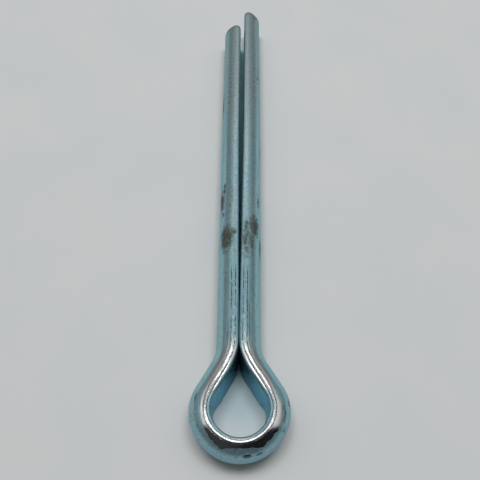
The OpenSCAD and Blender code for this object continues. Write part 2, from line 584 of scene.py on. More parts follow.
@dataclass
class PinSkin:
    """The pin's visible skin, swept along the fold.

    A field that ends in `easing` holds the two places between which something grows from 0
    to 1. They are distances from the throat, below 0 round the eye, unless said otherwise.
    """

    fold: Fold = field(default_factory=Fold)
    section: Section = field(default_factory=Section)
    # Height of the wire's middle over the ground
    lift: float = 2.8222
    # Bevel round the cut ends: its width and length
    bevel: float = 0.28
    bevel_l: float = 0.34
    # Flat that the cutter nipped at the longer leg's end: its direction, depth and length
    nip_turn: float = math.radians(48)
    nip_depth: float = 0.13
    nip_l: float = 1.9
    # Low waves, how far they are sunk as a whole, and the height that none passes
    waves: tuple[Wave, ...] = (
        Wave(0.010, 5.0, 0.9, 0.0),
        Wave(0.002, 1.4, 2.2, 5.0),
        Wave(0.010, 16.0, 3.4, 9.0),
    )
    wave_drop: float = 0.003
    wave_top: float = 0.004
    # Where the section grows into its shape in the eye, where its corners are pressed
    # square, and where they take the closed end's radius
    eye_easing: Point = (2.0, -5.0)
    square_easing: Point = (20.0, 9.0)
    crown_easing: Point = (-6.5, -9.0)
    # On the eye's flanks the flat face leans: its foot stands further in
    flank_lean: float = 0.42
    flank_easing: Point = (-0.4, -3.2)
    flank_end_easing: Point = (-9.8, -7.2)
    # In the eye the flat face is drawn back at its top, by distance round it from the throat
    eye_back: tuple[Point, ...] = ((0.4, 0.0), (3.2, 0.17), (9.0, 0.18), (14.0, 0.28))
    # How far from the flat face such a shift reaches into the section
    back_reach: float = 1.8
    # Rounding of the flat face's corner at a cut end: its depth and length
    end_round: float = 0.40
    end_round_l: float = 0.75
    # The cut faces: rings of points, dish, roughness, and changes of it per millimetre
    cut_rings: int = 6
    cut_dish: float = 0.05
    cut_rough: float = 0.03
    cut_grain: float = 1.6
    # Outer edge of the bright rubbed crest: its direction round the wire in degrees, by
    # distance from the crown of the eye, with the longer leg upward
    crest_out: tuple[Point, ...] = (
        (-14.0, 58.0), (-11.0, 56.0), (-8.5, 57.0), (-6.4, 60.0), (-5.0, 62.5), (-3.8, 59.0),
        (-2.4, 54.0), (-1.65, 48.0), (-0.9, 56.0), (0.0, 59.0), (0.8, 57.0), (1.65, 49.0),
        (2.4, 51.5), (3.6, 50.5), (4.9, 55.0), (6.3, 63.0), (8.4, 57.0), (11.0, 57.0),
        (14.0, 60.0),
    )
    # Its inner edge, by distance round the eye from the throat
    crest_in: tuple[Point, ...] = ((6.5, 132.0), (8.6, 99.0), (11.5, 108.0), (14.3, 124.0))
    # Half the blur of its outer and inner edge, and how far both sway, in degrees, and the
    # length of a sway
    crest_blur: float = 3.0
    crest_in_blur: float = 9.0
    crest_sway: float = 2.6
    crest_sway_l: float = 0.4
    # How far the legs' crests are rubbed, and where the eye's full rubbing sets in
    leg_gloss: tuple[Point, ...] = ((3.0, 0.12), (12.0, 0.12), (21.0, 0.38), (60.0, 0.38))
    gloss_easing: Point = (3.0, -3.0)
    # How far the drawing lines are left at a distance round the eye from the throat
    drawn_knots: tuple[Point, ...] = (
        (0.0, 1.0), (2.5, 0.5), (4.5, 0.32), (8.0, 0.30), (14.3, 0.22),
    )
    # Where they show on the legs, and their outer and inner edges in degrees round the wire
    drawn_easing: Point = (12.5, 4.5)
    drawn_out_easing: Point = (40.0, 65.0)
    drawn_in_easing: Point = (140.0, 110.0)
    # Where the cutting left bare metal, by distance from the end, and how bare the nip is
    sheared_easing: Point = (1.5, 0.1)
    nip_bare: float = 0.9
    # Where the film is dull, towards the legs' ends, and matt, at the eye's closed end
    dull_easing: Point = (24.0, 56.0)
    matt_easing: Point = (-7.0, -11.5)
    # Where it is deep, on the flat face, in degrees round the wire, and where painted shade
    # darkens it most, at the neck and between the legs
    deep_easing: Point = (120.0, 165.0)
    painted_throat_shade_easing: Point = (-8.5, -3.0)

    @cached_property
    def crown_run(self) -> float:
        """Distance round the wire from the throat to the crown of the eye."""
        return -min(s.run for s in self.fold.path())

    def along(self, station: Station) -> float:
        """Give the distance of a station from the crown of the eye, longer leg upward."""
        return station.leg.value * (station.run + self.crown_run)

    def to_end(self, station: Station) -> float:
        """Give the distance of a station on a leg from the leg's cut end."""
        return self.fold.leg_end(station.leg) - station.run

    def ring(self, station: Station) -> list[Vector]:
        """Place the section's points at a station.

        Args:
            station: Where the section stands.

        Returns:
            The points in the frame, in millimetres.
        """
        ax, ay = station.at
        ox, oy = station.out
        eye = smooth(*self.eye_easing, station.run)
        square = smooth(*self.square_easing, station.run)
        crown = smooth(*self.crown_easing, station.run)
        inset = self.inset(station)
        points = []
        for u, z, a in self.section.outline(eye, square, crown):
            u, z = self.pitted(station, u, z)
            u += self.drawn_back(station, u, z)
            out = self.unevenness(station, a) - inset
            u += out * math.cos(a)
            z += out * math.sin(a)
            u, z = self.nipped(station, u, z)
            points.append(Vector((ax + ox * u, ay + oy * u, self.lift + z)))
        return points

    def drawn_back(self, station: Station, u: float, z: float) -> float:
        """Give how far the flat side is moved back from the middle of the fold.

        Args:
            station: Where the section stands.
            u: Distance of the point from the flat face.
            z: Its height from the middle.

        Returns:
            The distance, below 0 where the flat side leans in at its foot.
        """
        flank = smooth(*self.flank_easing, station.run)
        flank *= smooth(*self.flank_end_easing, station.run)
        half = self.section.half_h
        low = (half - z) / (2 * half)
        back = -self.flank_lean * flank * low
        back += eased(self.eye_back, -station.run) * (1 - low)
        if station.zone is Zone.END:
            near = max(1 - self.to_end(station) / self.end_round_l, 0.0)
            back += self.end_round * near**2
        return back * smooth(self.back_reach, 0.0, u)

    def unevenness(self, station: Station, a: float) -> float:
        """Give the small waves of drawn and bent wire at a place.

        Args:
            station: Station of the place.
            a: Direction of the outward normal there.

        Returns:
            The height of the waves.
        """
        along = self.along(station)
        height = sum(wave.at(along, a) for wave in self.waves) - self.wave_drop
        return min(height, self.wave_top)

    def pitted(self, station: Station, u: float, z: float) -> Point:
        """Press a place in where a pit lies.

        Args:
            station: Station of the place.
            u: Distance of the place from the flat face.
            z: Its height from the middle.

        Returns:
            The place, moved inward in a pit.
        """
        turn = math.atan2(z, u)
        depth = 0.0
        for scar in SCARS:
            if scar.depth:
                depth += scar.depth * max(scar.weight(station, math.degrees(turn)), 0.0) ** 0.5
        return u - depth * math.cos(turn), z - depth * math.sin(turn)

    def nipped(self, station: Station, u: float, z: float) -> Point:
        """Press a place back to the nipped flat near the longer leg's end.

        Args:
            station: Station of the place.
            u: Distance of the place from the flat face.
            z: Its height from the middle.

        Returns:
            The place, moved if it stood out past the nipped flat.
        """
        if station.leg is not Leg.LONG or station.zone is not Zone.END:
            return u, z
        gap = self.to_end(station)
        limit = self.fold.wire_r - self.nip_depth * (1 - gap / self.nip_l)
        c, s = toward(self.nip_turn)
        over = u * c + z * s - limit
        if gap > self.nip_l or over <= 0:
            return u, z
        return u - over * c, z - over * s

    def inset(self, station: Station) -> float:
        """Give the inset of the bevel round a cut end.

        Args:
            station: Where the section stands.

        Returns:
            How far the section is drawn in from its full size.
        """
        if station.zone is not Zone.END:
            return 0.0
        part = max(1 - self.to_end(station) / self.bevel_l, 0.0)
        return self.bevel * (1 - math.sqrt(max(1 - part * part, 0.0)))

    def cap(self, ring: list[int], points: list[Vector]) -> list[tuple[int, ...]]:
        """Close a cut end with rings that shrink to its middle.

        Args:
            ring: Indices of the last ring of the leg.
            points: All points so far, which the cap's are added to.

        Returns:
            The cap's faces.
        """
        faces: list[tuple[int, ...]] = []
        middle = sum((points[i] for i in ring), Vector()) / len(ring)
        last = ring
        count = len(ring)
        for step in range(1, self.cut_rings + 1):
            share = step / (self.cut_rings + 1)
            now = []
            for i in ring:
                p = points[i].lerp(middle, share)
                grain = Vector((p.x * self.cut_grain, p.z * self.cut_grain, 1.0))
                dish = self.cut_dish * share * (1 - share)
                p.y += self.cut_rough * noise.noise(grain) - dish
                points.append(p)
                now.append(len(points) - 1)
            for k in range(count):
                n = (k + 1) % count
                faces.append((last[k], last[n], now[n], now[k]))
            last = now
        points.append(middle)
        tip = len(points) - 1
        faces += [(last[k], last[(k + 1) % count], tip) for k in range(count)]
        return faces

    def build(self) -> bpy.types.Object:
        """Sweep the skin, close its ends and give it its maps.

        Returns:
            The pin as one mesh object in metres.
        """
        stations = self.fold.path()
        points: list[Vector] = []
        for s in stations:
            points += self.ring(s)
        per = self.section.count
        faces: list[tuple[int, ...]] = []
        for i in range(len(stations) - 1):
            a, b = i * per, (i + 1) * per
            for k in range(per):
                n = (k + 1) % per
                faces.append((a + k, a + n, b + n, b + k))
        swept = len(faces)
        first = list(range(per))
        last = [(len(stations) - 1) * per + k for k in range(per)]
        faces += self.cap(first, points)
        faces += [face[::-1] for face in self.cap(last, points)]
        mesh = bpy.data.meshes.new("bent_wire")
        mesh.from_pydata([p * MM for p in points], [], faces)
        self.add_wire_map(mesh, stations, swept)
        self.add_marks(mesh, stations)
        mesh.polygons.foreach_set("use_smooth", [True] * len(mesh.polygons))
        pin = bpy.data.objects.new("bent_wire", mesh)
        bpy.context.scene.collection.objects.link(pin)
        self.face_outward(mesh)
        return pin

    def face_outward(self, mesh: bpy.types.Mesh) -> None:
        """Flip the skin if its faces look inward.

        Args:
            mesh: The pin's mesh.
        """
        volume = 0.0
        mesh.calc_loop_triangles()
        for t in mesh.loop_triangles:
            a, b, c = (mesh.vertices[i].co for i in t.vertices)
            volume += a.dot(b.cross(c))
        if volume < 0:
            mesh.flip_normals()

    def add_wire_map(self, mesh: bpy.types.Mesh, stations: list[Station], swept: int) -> None:
        """Write the map of length along the wire and girth from its crest, in metres.

        Args:
            mesh: The pin's mesh.
            stations: Stations of the sweep, in order.
            swept: Number of faces of the sweep, which come before the caps.
        """
        per = self.section.count
        outline = self.section.outline(0.0, 0.0, 0.0)
        girth = [0.0]
        for (u0, z0, _), (u1, z1, _) in zip(outline, outline[1:] + outline[:1]):
            girth.append(girth[-1] + math.hypot(u1 - u0, z1 - z0))
        crest = girth[max(range(per), key=lambda k: outline[k][1])]
        length = [0.0]
        for s, t in zip(stations, stations[1:]):
            length.append(length[-1] + math.dist(s.at, t.at))
        coords: list[float] = []
        for face in range(swept):
            i, k = divmod(face, per)
            for row, column in ((i, k), (i, k + 1), (i + 1, k + 1), (i + 1, k)):
                coords += [length[row] * MM, (girth[column] - crest) * MM]
        for face in mesh.polygons[swept:]:
            for v in face.vertices:
                co = mesh.vertices[v].co
                coords += [co.x, co.z]
        mesh.uv_layers.new(name="wire").data.foreach_set("uv", coords)

    def add_marks(self, mesh: bpy.types.Mesh, stations: list[Station]) -> None:
        """Write how the finish stands at every point, as one map for each mark.

        Args:
            mesh: The pin's mesh.
            stations: Stations of the sweep, in order.
        """
        outline = self.section.outline(0.0, 0.0, 0.0)
        places = [self.marks(s, u, z, a) for s in stations for u, z, a in outline]
        capped = len(mesh.vertices) - len(places)
        for mark in Mark:
            on_cap = 1.0 if mark is Mark.CUT else 0.0
            values = [place[mark] for place in places] + [on_cap] * capped
            layer = mesh.attributes.new(mark.value, "FLOAT", "POINT")
            layer.data.foreach_set("value", values)

    def marks(self, station: Station, u: float, z: float, a: float) -> dict[Mark, float]:
        """Say how the finish stands at a place.

        Args:
            station: Station of the place.
            u: Distance of the place from the flat face.
            z: Its height from the middle.
            a: Direction of the outward normal there.

        Returns:
            The strength of each mark.
        """
        place = math.degrees(math.atan2(z, u))
        turn = math.degrees(abs(a))
        inward = smooth(*self.deep_easing, turn)
        return {
            Mark.WEAR: max(max(w.wear * w.weight(station, place) for w in SCARS), 0.0),
            Mark.GLOSS: self.burnish(station, turn),
            Mark.DULL: smooth(*self.dull_easing, station.run),
            Mark.DRAWN: self.drawn(station, turn),
            Mark.CUT: self.sheared(station, u, z),
            # The flat face, and painted shade near the throat that lifts the mark up to 2
            Mark.DEEP: inward * (1.0 + smooth(*self.painted_throat_shade_easing, station.run)),
            Mark.MATT: smooth(*self.matt_easing, station.run),
        }

    def sheared(self, station: Station, u: float, z: float) -> float:
        """Say how much bare metal the cutting left at a place.

        Args:
            station: Station of the place.
            u: Distance of the place from the flat face.
            z: Its height from the middle.

        Returns:
            A number from 0 to 1.
        """
        if station.zone is not Zone.END:
            return 0.0
        bare = smooth(*self.sheared_easing, self.to_end(station))
        if self.nipped(station, u, z) != (u, z):
            bare = max(bare, self.nip_bare)
        return bare

    def drawn(self, station: Station, turn: float) -> float:
        """Say how strongly the drawing lines show at a place.

        Args:
            station: Station of the place.
            turn: Direction of the surface, from level outward at 0 to inward at 180.

        Returns:
            A number from 0 to 1.
        """
        crest = smooth(*self.drawn_out_easing, turn) * smooth(*self.drawn_in_easing, turn)
        leg = smooth(*self.drawn_easing, station.run)
        eye = eased(self.drawn_knots, -station.run)
        return crest * leg * eye

    def burnish(self, station: Station, turn: float) -> float:
        """Say how far the plating is rubbed bright at a place.

        Args:
            station: Station of the place.
            turn: Direction of the surface, from level outward at 0 to inward at 180.

        Returns:
            1 on the eye's crest, less on the legs' crests, and 0 elsewhere.
        """
        along = self.along(station)
        turn += self.crest_sway * noise.noise(Vector((along / self.crest_sway_l, 7.0, 0.0)))
        out, back = eased(self.crest_out, along), eased(self.crest_in, -station.run)
        crest = smooth(out - self.crest_blur, out + self.crest_blur, turn)
        crest *= smooth(back + self.crest_in_blur, back - self.crest_in_blur, turn)
        eye = smooth(*self.gloss_easing, station.run)
        leg = eased(self.leg_gloss, station.run)
        return crest * (leg + (1 - leg) * eye)


class Nodes:
    """A short way to lay out shader nodes."""

    def __init__(self, tree: bpy.types.NodeTree) -> None:
        """Keep the tree and empty it."""
        self.tree = tree
        tree.nodes.clear()

    def add(self, kind: str, **values: object) -> bpy.types.Node:
        """Add a node.

        Args:
            kind: Type of the node.
            values: Attributes of the node by name.

        Returns:
            The node.
        """
        node = self.tree.nodes.new(kind)
        for name, value in values.items():
            setattr(node, name, value)
        return node

    def link(self, source: Socket, target: Socket) -> None:
        """Join an output to an input."""
        self.tree.links.new(source, target)

    def noise(self, vector: Socket, scale: float, detail: float, rough: float = 0.5) -> Socket:
        """Add a noise texture.

        Args:
            vector: Place to read it at.
            scale: Changes per unit of the place.
            detail: Number of finer layers.
            rough: Strength of each finer layer.

        Returns:
            Its height, from 0 to 1.
        """
        node = self.add("ShaderNodeTexNoise")
        self.link(vector, node.inputs["Vector"])
        node.inputs["Scale"].default_value = scale
        node.inputs["Detail"].default_value = detail
        node.inputs["Roughness"].default_value = rough
        return node.outputs["Fac"]

    def scaled(self, vector: Socket, scale: Spot) -> Socket:
        """Stretch a vector along its axes.

        Args:
            vector: The vector.
            scale: Its new length along each axis, as a factor.

        Returns:
            The stretched vector.
        """
        node = self.add("ShaderNodeMapping")
        self.link(vector, node.inputs["Vector"])
        node.inputs["Scale"].default_value = scale
        return node.outputs["Vector"]

    def split(self, vector: Socket) -> dict[str, Socket]:
        """Part a vector.

        Args:
            vector: The vector.

        Returns:
            Its X, Y and Z by name.
        """
        node = self.add("ShaderNodeSeparateXYZ")
        self.link(vector, node.inputs[0])
        return {axis: node.outputs[axis] for axis in "XYZ"}

    def ranged(self, value: Socket, old: Point, new: Point = (0.0, 1.0)) -> Socket:
        """Ease a value from one range to another, without passing its ends.

        Args:
            value: The value.
            old: Its range.
            new: The range to bring it to.

        Returns:
            The new value.
        """
        node = self.add("ShaderNodeMapRange", interpolation_type="SMOOTHSTEP")
        self.link(value, node.inputs["Value"])
        node.inputs["From Min"].default_value, node.inputs["From Max"].default_value = old
        node.inputs["To Min"].default_value, node.inputs["To Max"].default_value = new
        return node.outputs["Result"]

    def maths(self, how: str, one: Socket, two: Socket | float) -> Socket:
        """Join two values by arithmetic.

        Args:
            how: Name of the operation.
            one: First value.
            two: Second value, plain or from a node.

        Returns:
            The result.
        """
        node = self.add("ShaderNodeMath", operation=how)
        self.link(one, node.inputs[0])
        if isinstance(two, float):
            node.inputs[1].default_value = two
        else:
            self.link(two, node.inputs[1])
        return node.outputs[0]

    def size_of(self, value: Socket) -> Socket:
        """Take a value without its sign.

        Args:
            value: The value.

        Returns:
            Its size.
        """
        node = self.add("ShaderNodeMath", operation="ABSOLUTE")
        self.link(value, node.inputs[0])
        return node.outputs[0]

    def mixed(self, share: Socket, one: Socket | Colour, two: Socket | Colour) -> Socket:
        """Mix two colours.

        Args:
            share: Share of the second colour.
            one: First colour, plain or from a node.
            two: Second colour.

        Returns:
            The mixed colour.
        """
        node = self.add("ShaderNodeMix", data_type="RGBA")
        self.link(share, node.inputs["Factor"])
        for value, name in ((one, "A"), (two, "B")):
            socket = [s for s in node.inputs if s.name == name and s.type == "RGBA"][0]
            if isinstance(value, tuple):
                socket.default_value = value
            else:
                self.link(value, socket)
        return [s for s in node.outputs if s.type == "RGBA"][0]


def begun(name: str) -> tuple[bpy.types.Material, Nodes, bpy.types.Node]:
    """Begin a finish.

    Args:
        name: Name of its material.

    Returns:
        The material, its nodes, and the shader of its surface.
    """
    mat = bpy.data.materials.new(name)
    mat.use_nodes = True
    nodes = Nodes(mat.node_tree)
    out = nodes.add("ShaderNodeOutputMaterial")
    shader = nodes.add("ShaderNodeBsdfPrincipled")
    nodes.link(shader.outputs["BSDF"], out.inputs["Surface"])
    return mat, nodes, shader


@dataclass(frozen=True)
class Grain:
    """A texture of the finish.

    Attributes:
        along: Changes per metre along the wire.
        across: Changes per metre round the wire, or 0 for a texture without direction.
        detail: Number of finer layers.
        rough: Strength of each finer layer.
    """

    along: float
    across: float = 0.0
    detail: float = 2.0
    rough: float = 0.5

    def lay(self, nodes: Nodes, wire: Socket, place: Socket) -> Socket:
        """Add the texture.

        Args:
            nodes: Nodes of the finish.
            wire: Length and girth along the wire, in metres.
            place: Place in space, in metres.

        Returns:
            The texture's height, from 0 to 1.
        """
        if not self.across:
            return nodes.noise(place, self.along, self.detail, self.rough)
        stretched = nodes.scaled(wire, (self.along, self.across, 1.0))
        return nodes.noise(stretched, 1.0, self.detail, self.rough)


@dataclass(frozen=True)
class Score:
    """A dark line that the die drew along the crest, in metres.

    Attributes:
        at: Its place across the crest, positive towards the flat face.
        half: Half its width.
        wander: How far it wanders across the crest.
        sway: Changes of that per metre along the wire.
        breaks: Texture that interrupts it.
        scale: Scale of its dots.
        sway_mix: Range of the texture that makes it wander.
        edge: Where its edge begins and ends, in parts of half its width.
    """

    at: float
    half: float
    wander: float
    sway: float
    breaks: Grain
    scale: float
    sway_mix: Point = (0.3, 0.7)
    edge: Point = (0.4, 1.5)

    def draw(self, nodes: Nodes, wire: Socket, across: Socket) -> Socket:
        """Draw the line without its dots.

        Args:
            nodes: Nodes of the finish.
            wire: Length and girth along the wire.
            across: The girth alone.

        Returns:
            1 on the line and 0 beside it.
        """
        sway = nodes.noise(nodes.scaled(wire, (self.sway, 0.0, 1.0)), 1.0, 2.0)
        reach = self.wander / 2
        middle = nodes.ranged(sway, self.sway_mix, (self.at - reach, self.at + reach))
        off = nodes.size_of(nodes.maths("SUBTRACT", across, middle))
        inner, outer = (self.half * part for part in self.edge)
        return nodes.ranged(off, (inner, outer), (1.0, 0.0))


@dataclass(frozen=True)
class Coat:
    """A colour laid over the film, as far as a texture, mark or share says.

    Attributes:
        by: Name of what it follows.
        colour: The colour.
        span: Range of that, or None to follow it as it is.
        share: Share of the colour at both ends of the range.
    """

    by: str
    colour: Colour
    span: Point | None = None
    share: Point = (0.0, 1.0)

    def lay(self, nodes: Nodes, look: dict[str, Socket], film: Socket | Colour) -> Socket:
        """Lay the coat.

        Args:
            nodes: Nodes of the finish.
            look: Textures, marks and shares by name.
            film: The colour under it.

        Returns:
            The new colour.
        """
        share = nodes.ranged(look[self.by], self.span, self.share) if self.span else look[self.by]
        return nodes.mixed(share, film, self.colour)


@dataclass(frozen=True)
class ZincPlate:
    """Zinc plate with a teal passive film, drawn lines, a rubbed crest and worn patches.

    A field that is a span holds the range of a texture or mark, and what it is brought to.
    """

    # The film's first colour, and what is laid over it: bands, dull stretches, the flat
    # face with painted shade near the throat, specks, the rubbed crest, sheared ends and drawing
    # lines
    green: Colour = (0.41, 0.66, 0.67, 1.0)
    coats: tuple[Coat, ...] = (
        Coat("bands", (0.34, 0.58, 0.70, 1.0), (0.36, 0.64)),
        Coat("cloud", GREY_FILM, (0.40, 0.70), (0.0, 0.25)),
        Coat("mottle", GREY_FILM, (0.45, 0.75), (0.0, 0.2)),
        Coat("dull", GREY_FILM, (0.0, 1.0), (0.0, 0.85)),
        Coat("deep", (0.37, 0.62, 0.73, 1.0)),
        # Painted shade on the flat face near the throat, where the deep mark runs from 1 to 2
        Coat("deep", (0.055, 0.095, 0.090, 1.0), (1.0, 2.0), (0.0, 0.55)),
        Coat("specks", SPECK, (0.46, 0.68), (0.0, 0.60)),
        Coat("dots", SPECK, (0.62, 0.72), (0.0, 0.80)),
        Coat("shine", RUBBED_ZINC),
        Coat("torn", (0.34, 0.36, 0.33, 1.0), (0.25, 0.8), (0.0, 0.85)),
        Coat("scored", (0.035, 0.05, 0.055, 1.0)),
    )
    # What the metal mirrors at a glance: from the film and from the flat face's film
    edge: Colour = (0.56, 0.76, 0.80, 1.0)
    deep_edge: Colour = (0.34, 0.64, 0.76, 1.0)
    # Worn and bare steel in the patches, how they are mottled, and the pits
    worn: Colour = (0.055, 0.060, 0.052, 1.0)
    bare: Colour = (0.20, 0.205, 0.17, 1.0)
    bare_mix: Span = ((0.46, 0.70), (0.0, 1.0))
    pit: Colour = (0.012, 0.018, 0.020, 1.0)
    # Textures by name
    grains: tuple[tuple[str, Grain], ...] = (
        ("hair", Grain(900.0, 9000.0, 3.0, 0.65)),
        ("lines", Grain(420.0, 5200.0, 2.0, 0.6)),
        ("bands", Grain(70.0, 1500.0, 3.0, 0.6)),
        ("cloud", Grain(160.0, 420.0, 3.0)),
        ("rag", Grain(1500.0, 2100.0, 6.0, 0.7)),
        ("fine", Grain(60.0, 5200.0)),
        ("grit", Grain(7000.0)),
        ("mottle", Grain(1100.0, detail=4.0, rough=0.6)),
        ("specks", Grain(5200.0)),
        ("dots", Grain(2700.0, detail=1.0)),
    )
    # How ragged the edges of the rubbed crest, the patches and the sheared metal are
    shine_rag: Span = ((0.3, 0.7), (-0.30, 0.18))
    patch_rag: Span = ((0.32, 0.68), (-0.34, 0.34))
    torn_rag: Span = ((0.3, 0.7), (-0.25, 0.25))
    # Shares of the crest's shine, of the patches with where none is left, and of the pits
    shine_mix: Span = ((0.02, 0.7), (0.0, 1.0))
    patch_mix: Span = ((0.02, 0.62), (0.0, 0.95))
    patch_foot: Span = ((0.0, 0.16), (0.0, 1.0))
    pit_mix: Span = ((1.25, 1.65), (0.0, 1.0))
    # Share of metal: of the film by its mattness, of the crest by its shine, and what
    # patches and pits leave of it
    film_metal: Span = ((0.0, 1.0), (0.82, 0.76))
    crest_metal: Span = ((0.0, 0.6), (0.76, 1.0))
    patch_metal: Span = ((0.0, 1.0), (1.0, 0.45))
    pit_metal: Span = ((0.0, 1.0), (1.0, 0.2))
    # Roughness: of the film by its mattness, what shine takes off, the least that stays, and
    # what is added after that
    film_rough: Span = ((0.0, 1.0), (0.25, 0.36))
    shine_rough: Span = ((0.0, 0.8), (0.0, 0.30))
    least_rough: float = 0.075
    more_rough: tuple[tuple[str, Span], ...] = (
        ("bands", ((0.3, 0.7), (-0.04, 0.04))),
        ("dull", ((0.0, 1.0), (0.0, 0.10))),
        ("cut", ((0.2, 1.0), (0.0, 0.10))),
        ("patch", ((0.0, 1.0), (0.0, 0.22))),
    )
    # Strength and depth in metres of the drawing lines, of hair lines, of the dark lines
    # and of the grit, and how the first two grow where the wire is drawn
    line_relief: Point = (1.0, 0.000060)
    hair_relief: Point = (1.0, 0.000038)
    score_relief: Point = (1.0, 0.000014)
    grit_relief: Point = (0.5, 0.000008)
    drawn_depth: Span = ((0.3, 1.0), (0.15, 0.75))
    # Dark lines: the fine ones, the two strong ones with their breaks and dots, where the
    # dots close up to a line, and where all lines fade
    fine_mix: Span = ((0.58, 0.70), (0.0, 0.75))
    scores: tuple[Score, ...] = (
        Score(0.00020, 0.000072, 0.00005, 130.0, Grain(300.0, 60.0), 1.0),
        Score(-0.00034, 0.000070, 0.00012, 170.0, Grain(300.0, 80.0), 1.1),
    )
    score_dots: float = 3400.0
    break_mix: Span = ((0.30, 0.42), (0.0, 1.0))
    score_mix: Span = ((0.42, 0.56), (0.15, 1.0))
    closed_mix: Span = ((0.32, 0.60), (0.85, 0.0))
    fade_mix: Span = ((0.05, 0.35), (0.0, 1.0))

    def material(self) -> bpy.types.Material:
        """Build the finish.

        Returns:
            The material.
        """
        mat, nodes, shader = begun("zinc_plate")
        coords = nodes.add("ShaderNodeTexCoord")
        wire = coords.outputs["UV"]
        look = {name: grain.lay(nodes, wire, coords.outputs["Object"]) for name, grain in self.grains}
        for mark in Mark:
            node = nodes.add("ShaderNodeAttribute", attribute_name=mark.value)
            look[mark.value] = node.outputs["Fac"]
        shine = nodes.maths("ADD", look["gloss"], nodes.ranged(look["rag"], *self.shine_rag))
        look["shine"] = nodes.maths("MULTIPLY", nodes.ranged(shine, *self.shine_mix), look["gloss"])
        edge = nodes.maths("ADD", look["wear"], nodes.ranged(look["rag"], *self.patch_rag))
        foot = nodes.ranged(look["wear"], *self.patch_foot)
        look["patch"] = nodes.maths("MULTIPLY", nodes.ranged(edge, *self.patch_mix), foot)
        look["pitted"] = nodes.ranged(edge, *self.pit_mix)
        look["torn"] = nodes.maths("ADD", look["cut"], nodes.ranged(look["mottle"], *self.torn_rag))
        look["scored"] = self.scored(nodes, wire, look)
        nodes.link(self.colour(nodes, look), shader.inputs["Base Color"])
        nodes.link(self.tint(nodes, look), shader.inputs["Specular Tint"])
        nodes.link(self.metal(nodes, look), shader.inputs["Metallic"])
        nodes.link(self.roughness(nodes, look), shader.inputs["Roughness"])
        nodes.link(self.relief(nodes, look), shader.inputs["Normal"])
        return mat

    def colour(self, nodes: Nodes, look: dict[str, Socket]) -> Socket:
        """Lay the coats over the film, and the patches over them.

        Args:
            nodes: Nodes of the finish.
            look: Textures, marks and shares by name.

        Returns:
            The base colour.
        """
        film: Socket | Colour = self.green
        for coat in self.coats:
            film = coat.lay(nodes, look, film)
        patch = nodes.mixed(nodes.ranged(look["rag"], *self.bare_mix), self.worn, self.bare)
        patch = nodes.mixed(look["pitted"], patch, self.pit)
        return nodes.mixed(look["patch"], film, patch)

    def tint(self, nodes: Nodes, look: dict[str, Socket]) -> Socket:
        """Mix the colour of what the metal mirrors at a glance.

        Args:
            nodes: Nodes of the finish.
            look: Textures, marks and shares by name.

        Returns:
            The tint.
        """
        film = nodes.mixed(look["deep"], self.edge, self.deep_edge)
        return nodes.mixed(look["shine"], film, RUBBED_ZINC)

    def metal(self, nodes: Nodes, look: dict[str, Socket]) -> Socket:
        """Say how far the finish mirrors as metal.

        Args:
            nodes: Nodes of the finish.
            look: Textures, marks and shares by name.

        Returns:
            The share of metal.
        """
        film = nodes.ranged(look["matt"], *self.film_metal)
        metal = nodes.maths("MAXIMUM", film, nodes.ranged(look["shine"], *self.crest_metal))
        metal = nodes.maths("MULTIPLY", metal, nodes.ranged(look["patch"], *self.patch_metal))
        return nodes.maths("MULTIPLY", metal, nodes.ranged(look["pitted"], *self.pit_metal))

    def roughness(self, nodes: Nodes, look: dict[str, Socket]) -> Socket:
        """Say how rough the finish is.

        Args:
            nodes: Nodes of the finish.
            look: Textures, marks and shares by name.

        Returns:
            The roughness.
        """
        rough = nodes.ranged(look["matt"], *self.film_rough)
        rough = nodes.maths("SUBTRACT", rough, nodes.ranged(look["shine"], *self.shine_rough))
        rough = nodes.maths("MAXIMUM", rough, self.least_rough)
        for name, span in self.more_rough:
            rough = nodes.maths("ADD", rough, nodes.ranged(look[name], *span))
        return rough

    def relief(self, nodes: Nodes, look: dict[str, Socket]) -> Socket:
        """Raise the lines and the grit that are too fine for the mesh.

        Args:
            nodes: Nodes of the finish.
            look: Textures, marks and shares by name.

        Returns:
            The surface's normal.
        """
        depth = nodes.ranged(look["drawn"], *self.drawn_depth)
        normal = None
        for height, (strength, reach) in (
            (nodes.maths("MULTIPLY", look["lines"], depth), self.line_relief),
            (nodes.maths("MULTIPLY", look["hair"], depth), self.hair_relief),
            (nodes.ranged(look["scored"], (0.0, 1.0), (1.0, 0.0)), self.score_relief),
            (look["grit"], self.grit_relief),
        ):
            bump = nodes.add("ShaderNodeBump")
            bump.inputs["Strength"].default_value = strength
            bump.inputs["Distance"].default_value = reach
            nodes.link(height, bump.inputs["Height"])
            if normal:
                nodes.link(normal, bump.inputs["Normal"])
            normal = bump.outputs["Normal"]
        return normal

    def scored(self, nodes: Nodes, wire: Socket, look: dict[str, Socket]) -> Socket:
        """Draw the dark lines that the die left along the crest.

        Args:
            nodes: Nodes of the finish.
            wire: Length and girth along the wire.
            look: Textures, marks and shares by name.

        Returns:
            The share of the lines' colour.
        """
        across = nodes.split(wire)["Y"]
        total = nodes.maths("MULTIPLY", nodes.ranged(look["fine"], *self.fine_mix), look["drawn"])
        closed = nodes.ranged(look["drawn"], *self.closed_mix)
        for score in self.scores:
            line = score.draw(nodes, wire, across)
            breaks = nodes.ranged(score.breaks.lay(nodes, wire, wire), *self.break_mix)
            line = nodes.maths("MULTIPLY", line, breaks)
            dots = nodes.scaled(wire, (self.score_dots, self.score_dots, 1.0))
            dots = nodes.noise(dots, score.scale, 1.0)
            dots = nodes.maths("MAXIMUM", nodes.ranged(dots, *self.score_mix), closed)
            total = nodes.maths("MAXIMUM", total, nodes.maths("MULTIPLY", line, dots))
        return nodes.maths("MULTIPLY", total, nodes.ranged(look["drawn"], *self.fade_mix))


